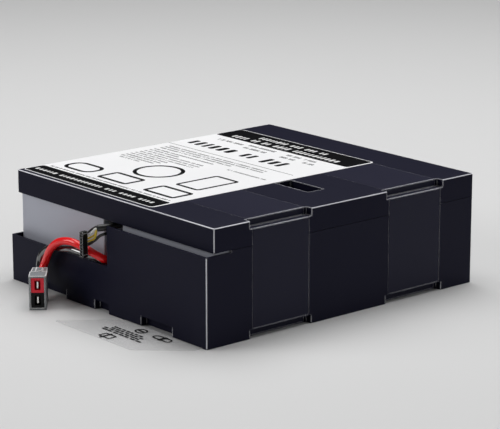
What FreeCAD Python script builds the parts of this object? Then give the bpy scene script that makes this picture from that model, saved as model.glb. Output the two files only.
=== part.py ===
import FreeCAD, Part
import math
import os
from FreeCAD import Vector

# Replacement battery cartridge for a rack power supply, in millimetres.
# +Z is up, the leads leave at -Y, and the origin is the middle of the shells' underside.

# Shells
SHELL_WIDTH = 203.0
COVER_LENGTH = 220.0
CARTRIDGE_HEIGHT = 74.0
WALL = 1.5
FLOOR_THICKNESS = 2.0
SEAM_HEIGHT = 58.6
SEAM_GAP = 0.3
LAP_HEIGHT = 1.8
LAP_THICKNESS = 0.6
LAP_CLEARANCE = 0.1
EDGE_RADIUS = 0.7
FRONT_PROUD = 6.0
FRONT_WALL_DROP = 1.6
WINDOW_SILL_HEIGHT = 31.0
WINDOW_STEP_X = 3.4
FRONT_CORNER_LENGTH = 19.5

# Strap notches and binding tapes
STRAP_INSET = 53.0
NOTCH_LENGTH = 50.0
TOP_NOTCH_DEPTH = 5.2
TOP_NOTCH_HEIGHT = 5.0
BASE_NOTCH_DEPTH = 4.5
BASE_NOTCH_HEIGHT = 5.6
TAPE_WIDTH = 45.0
TAPE_THICKNESS = 0.3
TAPE_SIDE_CLEARANCE = 0.25
TAPE_BED_CLEARANCE = 0.05

# Recesses along the foot of the front wall, as centre and width
FOOT_RECESS_DEPTH = 4.5
FOOT_RECESS_HEIGHT = 6.5
WIDE_RECESS_WIDTH = 31.0
NARROW_RECESS_WIDTH = 15.0
LEFT_RECESS_X = -56.5
MIDDLE_RECESS_X = -3.0
RIGHT_RECESS_X = 53.0

# Port in the cover, above the gap between the battery lids
PORT_LENGTH = 32.0
PORT_WIDTH = 13.6
PORT_X = 54.0
PORT_COLLAR_WALL = 0.8
PORT_COLLAR_DEPTH = 12.0

# Battery blocks, and the gaps that they leave for the wiring
WIRING_CHANNEL_WIDTH = 19.0
LID_GAP = 15.6
LID_THICKNESS = 8.0
BLOCK_EDGE_RADIUS = 1.0
BLOCK_SIDE_CLEARANCE = 0.2
VENT_PLATE_SIDE_MARGIN = 14.15
VENT_PLATE_HEIGHT = 20.0
VENT_PLATE_THICKNESS = 1.0
VENT_PLATE_CLEARANCE = 0.2
TAB_SIDE_MARGIN = 12.15
TAB_BELOW_TOP = 14.0
TAB_WIDTH = 6.35
TAB_THICKNESS = 0.8
TAB_LENGTH = 5.5
TAB_HOLE_DIAMETER = 1.7
TAB_FOOT = 8.0
TAB_FOOT_THICKNESS = 0.8

# Ribs on the tray's floor
RIB_THICKNESS = 1.5
LOCATING_RIB_HEIGHT = 14.0
LOCATING_RIB_CLEARANCE = 0.3
SUPPORT_RIB_SPACING = 36.0

# Foam pads, links and lead receptacles
PAD_THICKNESS = 5.4
PAD_WIDTH = 60.0
PAD_LENGTH = 40.0
LINK_THICKNESS = 0.8
LINK_WIDTH = 6.0
CROSS_LINK_WIDTH = 4.4
RECEPTACLE_WALL = 0.9
RECEPTACLE_CLEARANCE = 0.05
BARREL_DIAMETER = 5.6
BARREL_LENGTH = 3.8

# Leads and sense wiring
LEAD_DIAMETER = 5.0
SENSE_CABLE_DIAMETER = 4.4
SENSE_CORE_DIAMETER = 1.3
CORE_SPACING = 1.5
SENSE_TAIL_DIAMETER = 1.9
TAP_DROP = 9.7
TAP_LANE_GAP = 1.0
TAP_ENTRY = 5.6
TAP_PASSING = 3.0
TAP_RISE = 4.8
TAP_APPROACH = 2.0
TAP_LEG = 3.2

# Two-pole power connector
PLUG_WIDTH = 11.0
PLUG_HEIGHT = 22.3
PLUG_DEPTH = 24.0
PLUG_WALL = 1.3
PLUG_HOOD_DEPTH = 13.0
PLUG_HOOD_WIDTH = 9.6
PLUG_HEADING = -39.6
PLUG_FRONT_X = -32.1
PLUG_FRONT_Y = -144.7
HOUSING_DEPTH = 14.0
HOUSING_CLEARANCE = 0.1
MATING_SLOT_WIDTH = 3.8
MATING_SLOT_HEIGHT = 6.4
MATING_SLOT_DEPTH = 10.0
CONTACT_THICKNESS = 0.9
CONTACT_HEIGHT = 4.8
CONTACT_SET_BACK = 1.5

# Single-row sense connector
SENSE_WAYS = 8
SENSE_PITCH = 2.0
SENSE_END_MARGIN = 0.45
SENSE_THICKNESS = 2.7
SENSE_DEPTH = 4.6
SENSE_HOLE_DIAMETER = 1.2
SENSE_HOLE_DEPTH = 3.6
SENSE_HEADING = -80.0
SENSE_FRONT_X = -9.6
SENSE_FRONT_Y = -126.3
SENSE_FOOT_Z = 35.6

# Label and pull tab
LABEL_LEFT = -100.3
LABEL_RIGHT = 37.4
LABEL_FRONT = -106.5
LABEL_REAR = 82.3
LABEL_THICKNESS = 0.15
LABEL_CORNER_RADIUS = 3.0
TAB_FILM_THICKNESS = 0.3
TAB_FILM_BED = 0.4
TAB_FILM_ROOT = 28.0
TAB_FILM_CORNER = 1.5
TAB_FILM_REACH = 34.5
TAB_FILM_ROOT_LEFT = 24.0
TAB_FILM_ROOT_RIGHT = 97.5
TAB_FILM_TIP_LEFT = -7.2
TAB_FILM_TIP_RIGHT = 71.0
TAB_FILM_NECK = 4.0
TAB_FILM_SHOULDER = 6.2

# Sizes that follow from the ones above
HALF_WIDTH = SHELL_WIDTH / 2
COVER_FRONT = -COVER_LENGTH / 2
COVER_REAR = COVER_LENGTH / 2
STRAP_OFFSET = COVER_REAR - STRAP_INSET
TRAY_FRONT = COVER_FRONT - FRONT_PROUD
FRONT_WALL_HEIGHT = SEAM_HEIGHT - FRONT_WALL_DROP
BLOCK_FOOT_Z = BASE_NOTCH_HEIGHT + WALL
BLOCK_TOP_Z = CARTRIDGE_HEIGHT - WALL - PAD_THICKNESS
BLOCK_HEIGHT = BLOCK_TOP_Z - BLOCK_FOOT_Z
CHANNEL_HALF_WIDTH = WIRING_CHANNEL_WIDTH / 2
BLOCK_WIDTH = HALF_WIDTH - WALL - BLOCK_SIDE_CLEARANCE - CHANNEL_HALF_WIDTH
BLOCK_CENTRE_X = CHANNEL_HALF_WIDTH + BLOCK_WIDTH / 2
BLOCK_END_Y = COVER_REAR - WALL - BLOCK_SIDE_CLEARANCE
LID_FACE_Y = LID_GAP / 2
VENT_PLATE_WIDTH = BLOCK_WIDTH - 2 * VENT_PLATE_SIDE_MARGIN
TAB_SPACING = BLOCK_WIDTH - 2 * TAB_SIDE_MARGIN
TAB_Z = BLOCK_TOP_Z - TAB_BELOW_TOP
TAB_TOP_Z = TAB_Z + TAB_THICKNESS / 2
INNER_TAB_X = BLOCK_CENTRE_X - TAB_SPACING / 2
OUTER_TAB_X = BLOCK_CENTRE_X + TAB_SPACING / 2
SENSE_HEIGHT = SENSE_WAYS * SENSE_PITCH + 2 * SENSE_END_MARGIN


def save(node, shape):
    """Write one node's solids to its own file."""
    shape.exportStep(os.path.join("parts", node + ".step"))


def block(x0, x1, y0, y1, z0, z1):
    """A box between two corners."""
    return Part.makeBox(x1 - x0, y1 - y0, z1 - z0, Vector(x0, y0, z0))


def edges_along(shape, axis, keep=lambda point: True):
    """The straight edges of a shape that run along one axis and whose middle is kept."""
    found = []
    for edge in shape.Edges:
        if edge.Curve.TypeId != "Part::GeomLine":
            continue
        direction = edge.tangentAt(edge.FirstParameter)
        if abs(abs(direction.dot(axis)) - 1) < 1e-6 and keep(edge.CenterOfMass):
            found.append(edge)
    return found


def both_sides(shape):
    """A shape and its mirror image across the cartridge's centre plane, as a list."""
    return [shape, shape.mirror(Vector(0, 0, 0), Vector(1, 0, 0))]


def strap_outline(inset):
    """Closed outline, across the cartridge, of the surface that a strap follows, moved inwards by inset."""
    top = CARTRIDGE_HEIGHT - inset
    side = HALF_WIDTH - inset
    half = [
        (HALF_WIDTH - TOP_NOTCH_DEPTH - inset, top),
        (HALF_WIDTH - TOP_NOTCH_DEPTH - inset, CARTRIDGE_HEIGHT - TOP_NOTCH_HEIGHT - inset),
        (side, CARTRIDGE_HEIGHT - TOP_NOTCH_HEIGHT - inset),
        (side, BASE_NOTCH_HEIGHT + inset),
        (HALF_WIDTH - BASE_NOTCH_DEPTH - inset, BASE_NOTCH_HEIGHT + inset),
        (HALF_WIDTH - BASE_NOTCH_DEPTH - inset, inset),
    ]
    loop = half + [(-x, z) for x, z in reversed(half)]
    points = [Vector(x, 0, z) for x, z in loop]
    return Part.Face(Part.makePolygon(points + points[:1]))


def strap_band(inset, width, centre_y):
    """A closed band of the given width round both shells, its inner surface inset below theirs."""
    ring = strap_outline(0).cut(strap_outline(inset))
    band = ring.extrude(Vector(0, width, 0))
    band.translate(Vector(0, centre_y - width / 2, 0))
    return band


def strap_centres():
    """The places of the two straps along the cartridge."""
    return [-STRAP_OFFSET, STRAP_OFFSET]


def cut_strap_beds(shell):
    """Sink the shallow beds that keep the tapes flush with the shells."""
    depth = TAPE_THICKNESS + TAPE_BED_CLEARANCE
    width = TAPE_WIDTH + 2 * TAPE_SIDE_CLEARANCE
    for centre in strap_centres():
        shell = shell.cut(strap_band(depth, width, centre))
    return shell


def foot_recesses():
    """Centre and width of each recess along the foot of the front wall."""
    return [
        (LEFT_RECESS_X, WIDE_RECESS_WIDTH),
        (MIDDLE_RECESS_X, NARROW_RECESS_WIDTH),
        (RIGHT_RECESS_X, WIDE_RECESS_WIDTH),
    ]


def pull_tab_outline():
    """Corners of the pull tab's film: a root under the tray and a slanted free end."""
    return [
        (TAB_FILM_ROOT_LEFT, TRAY_FRONT + TAB_FILM_ROOT),
        (TAB_FILM_ROOT_RIGHT, TRAY_FRONT + TAB_FILM_ROOT),
        (TAB_FILM_ROOT_RIGHT, TRAY_FRONT - TAB_FILM_SHOULDER),
        (TAB_FILM_TIP_RIGHT, TRAY_FRONT - TAB_FILM_REACH),
        (TAB_FILM_TIP_LEFT, TRAY_FRONT - TAB_FILM_REACH),
        (TAB_FILM_ROOT_LEFT, TRAY_FRONT + TAB_FILM_NECK),
    ]


def rounded_plate(corners, radius, z0, thickness):
    """A flat plate with the given corners, all rounded."""
    points = [Vector(x, y, z0) for x, y in corners]
    plate = Part.Face(Part.makePolygon(points + points[:1])).extrude(Vector(0, 0, thickness))
    return plate.makeFillet(radius, edges_along(plate, Vector(0, 0, 1)))


def make_tray():
    """Lower shell: stepped front wall, strap notches, foot recesses and floor ribs."""
    rim = SEAM_HEIGHT - SEAM_GAP
    outer = block(-HALF_WIDTH, HALF_WIDTH, TRAY_FRONT, COVER_REAR, 0, rim)
    outer = outer.makeFillet(EDGE_RADIUS, edges_along(outer, Vector(0, 0, 1)))
    inner_side = HALF_WIDTH - WALL
    cavity = block(-inner_side, inner_side, TRAY_FRONT + WALL, COVER_REAR - WALL, FLOOR_THICKNESS, rim + 1)
    tray = outer.cut(cavity)
    tongue = lap_ring(LAP_THICKNESS, rim - WALL / 2, SEAM_HEIGHT + LAP_HEIGHT)
    tray = tray.fuse([tongue] + notch_casings() + recess_casings() + floor_ribs())
    tray = tray.cut(Part.Compound(notch_cuts() + recess_cuts()))

    # The window over the low front wall, and the lowered rim beside it
    corner_rear = TRAY_FRONT + FRONT_CORNER_LENGTH
    window = block(-HALF_WIDTH - 1, WINDOW_STEP_X, TRAY_FRONT - 1, corner_rear, WINDOW_SILL_HEIGHT, rim + 1)
    lowered = block(WINDOW_STEP_X - 1, HALF_WIDTH + 1, TRAY_FRONT - 1, corner_rear, FRONT_WALL_HEIGHT, rim + 1)
    tray = tray.cut(window).cut(lowered)

    tray = cut_strap_beds(tray)
    film_bed = rounded_plate(pull_tab_outline(), TAB_FILM_CORNER, 0, TAB_FILM_BED)
    tray = tray.cut(film_bed)
    return tray.removeSplitter()


def lap_ring(thickness, z0, z1):
    """Band round the inside of the walls behind the window, open towards the front."""
    inner_side = HALF_WIDTH - WALL
    inner_rear = COVER_REAR - WALL
    front = TRAY_FRONT + FRONT_CORNER_LENGTH
    outer_side = inner_side + thickness
    band = block(-outer_side, outer_side, front, inner_rear + thickness, z0, z1)
    return band.cut(block(-inner_side, inner_side, front - 1, inner_rear, z0 - 1, z1 + 1))


def notch_casings():
    """Inner walls that close the base strap notches."""
    casings = []
    x0 = HALF_WIDTH - BASE_NOTCH_DEPTH - WALL
    for centre in strap_centres():
        y0 = centre - NOTCH_LENGTH / 2 - WALL
        y1 = centre + NOTCH_LENGTH / 2 + WALL
        casings += both_sides(block(x0, HALF_WIDTH - WALL / 2, y0, y1, FLOOR_THICKNESS / 2, BLOCK_FOOT_Z))
    return casings


def notch_cuts():
    """The base strap notches themselves."""
    cuts = []
    for centre in strap_centres():
        y0 = centre - NOTCH_LENGTH / 2
        y1 = centre + NOTCH_LENGTH / 2
        x0 = HALF_WIDTH - BASE_NOTCH_DEPTH
        cuts += both_sides(block(x0, HALF_WIDTH + 1, y0, y1, -1, BASE_NOTCH_HEIGHT))
    return cuts


def recess_casings():
    """Inner walls that close the recesses of the front wall."""
    casings = []
    for centre, width in foot_recesses():
        x0 = centre - width / 2 - WALL
        x1 = centre + width / 2 + WALL
        rear = TRAY_FRONT + FOOT_RECESS_DEPTH + WALL
        casings.append(block(x0, x1, TRAY_FRONT + WALL / 2, rear, FLOOR_THICKNESS / 2, FOOT_RECESS_HEIGHT + WALL))
    return casings


def recess_cuts():
    """The recesses along the foot of the front wall."""
    cuts = []
    for centre, width in foot_recesses():
        rear = TRAY_FRONT + FOOT_RECESS_DEPTH
        cuts.append(block(centre - width / 2, centre + width / 2, TRAY_FRONT - 1, rear, -1, FOOT_RECESS_HEIGHT))
    return cuts


def floor_ribs():
    """Ribs that carry the blocks, and taller ones that keep them apart."""
    ribs = []
    half = RIB_THICKNESS / 2
    for step in (-1, 0, 1):
        x = BLOCK_CENTRE_X + step * SUPPORT_RIB_SPACING
        rib = block(x - half, x + half, -BLOCK_END_Y, BLOCK_END_Y, FLOOR_THICKNESS / 2, BLOCK_FOOT_Z)
        ribs += both_sides(rib)
    top = BLOCK_FOOT_Z + LOCATING_RIB_HEIGHT
    inner = CHANNEL_HALF_WIDTH - LOCATING_RIB_CLEARANCE
    for y0, y1 in ((-BLOCK_END_Y + 14, -LID_FACE_Y), (LID_FACE_Y, BLOCK_END_Y)):
        ribs += both_sides(block(inner - RIB_THICKNESS, inner, y0, y1, FLOOR_THICKNESS / 2, top))
    lid_side = LID_FACE_Y - LOCATING_RIB_CLEARANCE
    x1 = BLOCK_CENTRE_X + BLOCK_WIDTH / 2
    for y in (-lid_side, lid_side - RIB_THICKNESS):
        ribs += both_sides(block(inner + RIB_THICKNESS, x1, y, y + RIB_THICKNESS, FLOOR_THICKNESS / 2, top))
    return ribs


def make_cover():
    """Upper shell: skirt, strap notches along both top edges, and the port with its collar."""
    outer = block(-HALF_WIDTH, HALF_WIDTH, COVER_FRONT, COVER_REAR, SEAM_HEIGHT, CARTRIDGE_HEIGHT)
    upright = edges_along(outer, Vector(0, 0, 1))
    top = edges_along(outer, Vector(1, 0, 0), lambda p: p.z > SEAM_HEIGHT + 1)
    top += edges_along(outer, Vector(0, 1, 0), lambda p: p.z > SEAM_HEIGHT + 1)
    outer = outer.makeFillet(EDGE_RADIUS, upright + top)
    inner_side = HALF_WIDTH - WALL
    ceiling = CARTRIDGE_HEIGHT - WALL
    cavity = block(-inner_side, inner_side, COVER_FRONT + WALL, COVER_REAR - WALL, SEAM_HEIGHT - 1, ceiling)
    rebate = lap_ring(LAP_THICKNESS + LAP_CLEARANCE, SEAM_HEIGHT - 1, SEAM_HEIGHT + LAP_HEIGHT + SEAM_GAP)
    cover = outer.cut(cavity).cut(rebate)

    notch_x = HALF_WIDTH - TOP_NOTCH_DEPTH
    notch_z = CARTRIDGE_HEIGHT - TOP_NOTCH_HEIGHT
    casings = []
    cuts = []
    for centre in strap_centres():
        y0 = centre - NOTCH_LENGTH / 2
        y1 = centre + NOTCH_LENGTH / 2
        x0 = notch_x - WALL
        x1 = HALF_WIDTH - WALL / 2
        casing = block(x0, x1, y0 - WALL, y1 + WALL, notch_z - WALL, ceiling + WALL / 2)
        casings += both_sides(casing)
        cuts += both_sides(block(notch_x, HALF_WIDTH + 1, y0, y1, notch_z, CARTRIDGE_HEIGHT + 1))

    port_x0 = PORT_X - PORT_LENGTH / 2
    port_x1 = PORT_X + PORT_LENGTH / 2
    half = PORT_WIDTH / 2
    wall = PORT_COLLAR_WALL
    collar_foot = CARTRIDGE_HEIGHT - PORT_COLLAR_DEPTH
    collar = block(port_x0 - wall, port_x1 + wall, -half - wall, half + wall, collar_foot, ceiling + WALL / 2)
    port = block(port_x0, port_x1, -half, half, collar_foot - 1, CARTRIDGE_HEIGHT + 1)
    cover = cover.fuse(casings + [collar]).cut(Part.Compound(cuts + [port]))
    return cut_strap_beds(cover).removeSplitter()


def battery_places():
    """Name, side and end of each block: side is -1 on the left, end is -1 at the front."""
    return [
        ("front_left", -1, -1),
        ("front_right", 1, -1),
        ("rear_left", -1, 1),
        ("rear_right", 1, 1),
    ]


def make_block_case(side, end):
    """Moulded case of one block, with its base towards the cartridge's end wall."""
    x = side * BLOCK_CENTRE_X
    inner_y = LID_FACE_Y + LID_THICKNESS
    case = block(x - BLOCK_WIDTH / 2, x + BLOCK_WIDTH / 2, inner_y, BLOCK_END_Y, BLOCK_FOOT_Z, BLOCK_TOP_Z)
    long_edges = edges_along(case, Vector(0, 1, 0))
    base_edges = edges_along(case, Vector(1, 0, 0), lambda p: p.y > BLOCK_END_Y - 1)
    base_edges += edges_along(case, Vector(0, 0, 1), lambda p: p.y > BLOCK_END_Y - 1)
    case = case.makeFillet(BLOCK_EDGE_RADIUS, long_edges + base_edges)
    return facing(case, end)


def facing(shape, end):
    """Place a shape made at the rear end at the wanted end of the cartridge."""
    if end > 0:
        return shape
    return shape.mirror(Vector(0, 0, 0), Vector(0, 1, 0))


def make_block_lid(side, end):
    """Lid of one block, with a bed for the vent plate and a raised seat at each tab."""
    x = side * BLOCK_CENTRE_X
    lid = block(
        x - BLOCK_WIDTH / 2,
        x + BLOCK_WIDTH / 2,
        LID_FACE_Y,
        LID_FACE_Y + LID_THICKNESS,
        BLOCK_FOOT_Z,
        BLOCK_TOP_Z,
    )
    lid = lid.makeFillet(BLOCK_EDGE_RADIUS, edges_along(lid, Vector(0, 1, 0)))
    plate_z = vent_plate_z()
    bed = block(
        x - VENT_PLATE_WIDTH / 2 - VENT_PLATE_CLEARANCE,
        x + VENT_PLATE_WIDTH / 2 + VENT_PLATE_CLEARANCE,
        LID_FACE_Y - 1,
        LID_FACE_Y + VENT_PLATE_THICKNESS,
        plate_z - VENT_PLATE_HEIGHT / 2 - VENT_PLATE_CLEARANCE,
        plate_z + VENT_PLATE_HEIGHT / 2 + VENT_PLATE_CLEARANCE,
    )
    lid = lid.cut(bed)
    for tab_x in (x - TAB_SPACING / 2, x + TAB_SPACING / 2):
        lid = lid.cut(tab_foot(tab_x))
    return facing(lid, end)


def vent_plate_z():
    """Height of the middle of the vent plates, below the tabs."""
    return BLOCK_FOOT_Z + (BLOCK_HEIGHT - TAB_BELOW_TOP - TAB_FOOT / 2) / 2


def make_vent_plate(side, end):
    """Plate that covers the vent valves in a lid."""
    x = side * BLOCK_CENTRE_X
    z = vent_plate_z()
    plate = block(
        x - VENT_PLATE_WIDTH / 2,
        x + VENT_PLATE_WIDTH / 2,
        LID_FACE_Y,
        LID_FACE_Y + VENT_PLATE_THICKNESS,
        z - VENT_PLATE_HEIGHT / 2,
        z + VENT_PLATE_HEIGHT / 2,
    )
    plate = plate.makeFillet(2.0, edges_along(plate, Vector(0, 1, 0)))
    return facing(plate, end)


def tab_foot(x):
    """Square foot of a tab, sunk flush in the lid of a rear block."""
    half = TAB_FOOT / 2
    return block(x - half, x + half, LID_FACE_Y, LID_FACE_Y + TAB_FOOT_THICKNESS, TAB_Z - half, TAB_Z + half)


def make_tab(x, end):
    """Blade terminal: a foot in the lid and a drilled blade with a bevelled tip."""
    tip = LID_FACE_Y - TAB_LENGTH
    blade = block(x - TAB_WIDTH / 2, x + TAB_WIDTH / 2, tip, LID_FACE_Y, TAB_Z - TAB_THICKNESS / 2, TAB_TOP_Z)
    blade = blade.makeChamfer(1.0, edges_along(blade, Vector(0, 0, 1), lambda p: p.y < tip + 0.1))
    hole = Part.makeCylinder(
        TAB_HOLE_DIAMETER / 2,
        TAB_THICKNESS + 2,
        Vector(x, LID_FACE_Y - TAB_LENGTH / 2, TAB_Z - TAB_THICKNESS / 2 - 1),
    )
    return facing(tab_foot(x).fuse(blade).cut(hole).removeSplitter(), end)


def make_pad(side, end):
    """Foam pad between a block and the cover."""
    x = side * BLOCK_CENTRE_X
    top = CARTRIDGE_HEIGHT - WALL
    y = STRAP_OFFSET
    pad = block(x - PAD_WIDTH / 2, x + PAD_WIDTH / 2, y - PAD_LENGTH / 2, y + PAD_LENGTH / 2, BLOCK_TOP_Z, top)
    return facing(pad, end)


def make_end_link(side):
    """Flat link that joins the outer tabs of a front and a rear block."""
    x = side * OUTER_TAB_X
    reach = LID_FACE_Y - 0.8
    half = LINK_WIDTH / 2
    return block(x - half, x + half, -reach, reach, TAB_TOP_Z, TAB_TOP_Z + LINK_THICKNESS)


def make_cross_link():
    """Flat link across the wiring channel, between the inner tabs of the front blocks."""
    reach = INNER_TAB_X + TAB_WIDTH / 2
    front = -LID_FACE_Y + 0.8
    return block(-reach, reach, front, front + CROSS_LINK_WIDTH, TAB_TOP_Z, TAB_TOP_Z + LINK_THICKNESS)


def make_receptacle(side):
    """Flag receptacle on the inner tab of a rear block, its barrel towards the channel."""
    x = side * INNER_TAB_X
    wall = RECEPTACLE_WALL
    gap = RECEPTACLE_CLEARANCE
    half_width = TAB_WIDTH / 2 + gap + wall
    y0 = LID_FACE_Y - TAB_LENGTH
    y1 = LID_FACE_Y - 0.3
    half_height = TAB_THICKNESS / 2 + gap + wall
    body = block(x - half_width, x + half_width, y0, y1, TAB_Z - half_height, TAB_Z + half_height)
    half_slot = TAB_THICKNESS / 2 + gap
    slot_width = TAB_WIDTH / 2 + gap
    slot = block(x - slot_width, x + slot_width, y0 - 1, y1 + 1, TAB_Z - half_slot, TAB_Z + half_slot)
    middle_y = (y0 + y1) / 2
    start = Vector(x - side * (half_width - 0.2), middle_y, TAB_Z)
    barrel = Part.makeCylinder(BARREL_DIAMETER / 2, BARREL_LENGTH + 0.2, start, Vector(-side, 0, 0))
    return body.fuse(barrel).cut(slot).removeSplitter()


def barrel_mouth(side):
    """Centre of the face where a lead meets its receptacle."""
    half_width = TAB_WIDTH / 2 + RECEPTACLE_CLEARANCE + RECEPTACLE_WALL
    x = side * (INNER_TAB_X - half_width - BARREL_LENGTH)
    return Vector(x, LID_FACE_Y - (TAB_LENGTH + 0.3) / 2, TAB_Z)


def cord_path(name, points):
    """Straight runs joined by tangent arcs, each arc as large as its two runs allow."""
    edges = []
    radii = []
    here = points[0]
    for before, corner, after in zip(points, points[1:], points[2:]):
        back = (before - corner).normalize()
        ahead = (after - corner).normalize()
        half_turn = (math.pi - back.getAngle(ahead)) / 2
        setback = 0.45 * min((before - corner).Length, (after - corner).Length)
        radius = setback / math.tan(half_turn)
        start = corner + back * setback
        end = corner + ahead * setback
        inward = (back + ahead).normalize()
        middle = corner + inward * (radius / math.cos(half_turn) - radius)
        if (start - here).Length > 1e-6:
            edges.append(Part.LineSegment(here, start).toShape())
        edges.append(Part.Arc(start, middle, end).toShape())
        radii.append(radius)
        here = end
    edges.append(Part.LineSegment(here, points[-1]).toShape())
    path = Part.Wire(edges)
    print(name, "length", round(path.Length, 1), "radii", [round(radius, 1) for radius in radii])
    return path


def make_cord(name, points, diameter):
    """Round tube along a cord's route."""
    path = cord_path(name, points)
    section = Part.Wire(Part.makeCircle(diameter / 2, points[0], points[1] - points[0]))
    tube = path.makePipeShell([section], True, False)
    expected = math.pi * diameter**2 / 4 * path.Length
    print(name, "volume over section times length", round(tube.Volume / expected, 4))
    return tube


def heading(degrees):
    """Unit vector across the floor."""
    angle = math.radians(degrees)
    return Vector(math.cos(angle), math.sin(angle), 0)


def plug_point(back, z):
    """A point on the power connector's centre plane, back from its mating face."""
    return Vector(PLUG_FRONT_X, PLUG_FRONT_Y, z) - heading(PLUG_HEADING) * back


def housing_pitch():
    """Height of one contact housing in the connector's shell."""
    return (PLUG_HEIGHT - 2 * PLUG_WALL) / 2


def pole_z(row):
    """Height of a pole's axis: row 0 is the lower one."""
    return PLUG_WALL + housing_pitch() * (row + 0.5)


def place_plug(shape):
    """Turn and move a shape made with its mating face at the origin towards +X."""
    shape.rotate(Vector(0, 0, 0), Vector(0, 0, 1), PLUG_HEADING)
    shape.translate(Vector(PLUG_FRONT_X, PLUG_FRONT_Y, 0))
    return shape


def make_plug_shell():
    """Outer shell of the power connector: a square front sleeve and a narrower rear hood."""
    half = PLUG_WIDTH / 2
    hood_start = -PLUG_DEPTH + PLUG_HOOD_DEPTH
    sleeve = block(hood_start, 0, -half, half, 0, PLUG_HEIGHT)
    rear = PLUG_HOOD_WIDTH / 2
    profile = [
        Vector(hood_start, -half, 0),
        Vector(-PLUG_DEPTH, -rear, 0),
        Vector(-PLUG_DEPTH, rear, 0),
        Vector(hood_start, half, 0),
    ]
    hood = Part.Face(Part.makePolygon(profile + profile[:1])).extrude(Vector(0, 0, PLUG_HEIGHT - 1.0))
    shell = sleeve.fuse(hood).removeSplitter()
    shell = shell.makeFillet(0.5, edges_along(shell, Vector(0, 0, 1)))
    pocket_half = half - PLUG_WALL
    pocket_depth = HOUSING_DEPTH + 2 * HOUSING_CLEARANCE
    pocket = block(-pocket_depth, 1, -pocket_half, pocket_half, PLUG_WALL, PLUG_HEIGHT - PLUG_WALL)
    shell = shell.cut(pocket)
    for row in (0, 1):
        length = PLUG_DEPTH - pocket_depth + 1
        rear = Vector(-PLUG_DEPTH - 0.5, 0, pole_z(row))
        hole = Part.makeCylinder(LEAD_DIAMETER / 2 + 0.2, length, rear, Vector(1, 0, 0))
        shell = shell.cut(hole)
    latch = block(-PLUG_DEPTH + 2.5, hood_start - 2.5, -2.2, 2.2, PLUG_HEIGHT - 1.2, PLUG_HEIGHT - 0.2)
    return place_plug(shell.fuse(latch).removeSplitter())


def make_housing(row):
    """Contact housing of one pole, with a mating slot and a hole for its lead."""
    gap = HOUSING_CLEARANCE
    half = PLUG_WIDTH / 2 - PLUG_WALL - gap
    z = pole_z(row)
    half_height = housing_pitch() / 2 - gap
    body = block(-HOUSING_DEPTH, -0.4, -half, half, z - half_height, z + half_height)
    body = body.makeFillet(0.5, edges_along(body, Vector(1, 0, 0)))
    slot = block(
        -MATING_SLOT_DEPTH,
        1,
        -MATING_SLOT_WIDTH / 2,
        MATING_SLOT_WIDTH / 2,
        z - MATING_SLOT_HEIGHT / 2,
        z + MATING_SLOT_HEIGHT / 2,
    )
    rear = Vector(-HOUSING_DEPTH - 0.5, 0, z)
    hole = Part.makeCylinder(LEAD_DIAMETER / 2 + 0.1, 3.0, rear, Vector(1, 0, 0))
    contact_seat = block(
        -HOUSING_DEPTH + 2.0,
        -MATING_SLOT_DEPTH + 1,
        -CONTACT_THICKNESS / 2,
        CONTACT_THICKNESS / 2,
        z - CONTACT_HEIGHT / 2,
        z + CONTACT_HEIGHT / 2,
    )
    return place_plug(body.cut(slot).cut(hole).cut(contact_seat))


def make_contact(row):
    """Blade contact of one pole, held in the rear of its housing."""
    z = pole_z(row)
    blade = block(
        -HOUSING_DEPTH + 2.5,
        -CONTACT_SET_BACK,
        -CONTACT_THICKNESS / 2,
        CONTACT_THICKNESS / 2,
        z - CONTACT_HEIGHT / 2,
        z + CONTACT_HEIGHT / 2,
    )
    blade = blade.makeFillet(0.4, edges_along(blade, Vector(0, 1, 0), lambda p: p.x > -CONTACT_SET_BACK - 0.1))
    return place_plug(blade)


def sense_way_z(way):
    """Height of one way of the sense connector, counted from its foot."""
    return SENSE_FOOT_Z + SENSE_END_MARGIN + SENSE_PITCH * (way + 0.5)


def sense_back_point(way):
    """Centre of the rear cavity of one way, where its wire goes in."""
    back = Vector(SENSE_FRONT_X, SENSE_FRONT_Y, 0) - heading(SENSE_HEADING) * SENSE_DEPTH
    return Vector(back.x, back.y, sense_way_z(way))


def place_sense(shape):
    """Turn and move a shape made with its mating face at the origin towards +X."""
    shape.rotate(Vector(0, 0, 0), Vector(0, 0, 1), SENSE_HEADING)
    shape.translate(Vector(SENSE_FRONT_X, SENSE_FRONT_Y, 0))
    return shape


def make_sense_housing():
    """Single-row housing with one round contact hole for each way and two guide ribs."""
    half = SENSE_THICKNESS / 2
    z0 = SENSE_FOOT_Z
    body = block(-SENSE_DEPTH, 0, -half, half, z0, z0 + SENSE_HEIGHT)
    body = body.makeFillet(0.3, edges_along(body, Vector(1, 0, 0)))
    for way in range(SENSE_WAYS):
        mouth = Vector(-SENSE_HOLE_DEPTH, 0, sense_way_z(way))
        body = body.cut(Part.makeCylinder(SENSE_HOLE_DIAMETER / 2, SENSE_HOLE_DEPTH + 1, mouth, Vector(1, 0, 0)))
    rib = block(-SENSE_DEPTH + 0.6, -0.6, half - 0.1, half + 0.45, z0 + 1.2, z0 + 2.0)
    upper = rib.copy()
    upper.translate(Vector(0, 0, SENSE_HEIGHT - 3.2))
    return place_sense(body.fuse([rib, upper]).removeSplitter())


def make_sense_contacts():
    """Socket contacts of the wired ways, one solid each."""
    contacts = []
    for way in wired_ways():
        base = Vector(-SENSE_HOLE_DEPTH, 0, sense_way_z(way))
        outer = Part.makeCylinder(SENSE_HOLE_DIAMETER / 2 - 0.1, SENSE_HOLE_DEPTH - 0.8, base, Vector(1, 0, 0))
        bore = Part.makeCylinder(SENSE_HOLE_DIAMETER / 2 - 0.3, 2.4, base + Vector(1.2, 0, 0), Vector(1, 0, 0))
        contacts.append(place_sense(outer.cut(bore)))
    return Part.Compound(contacts)


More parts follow.
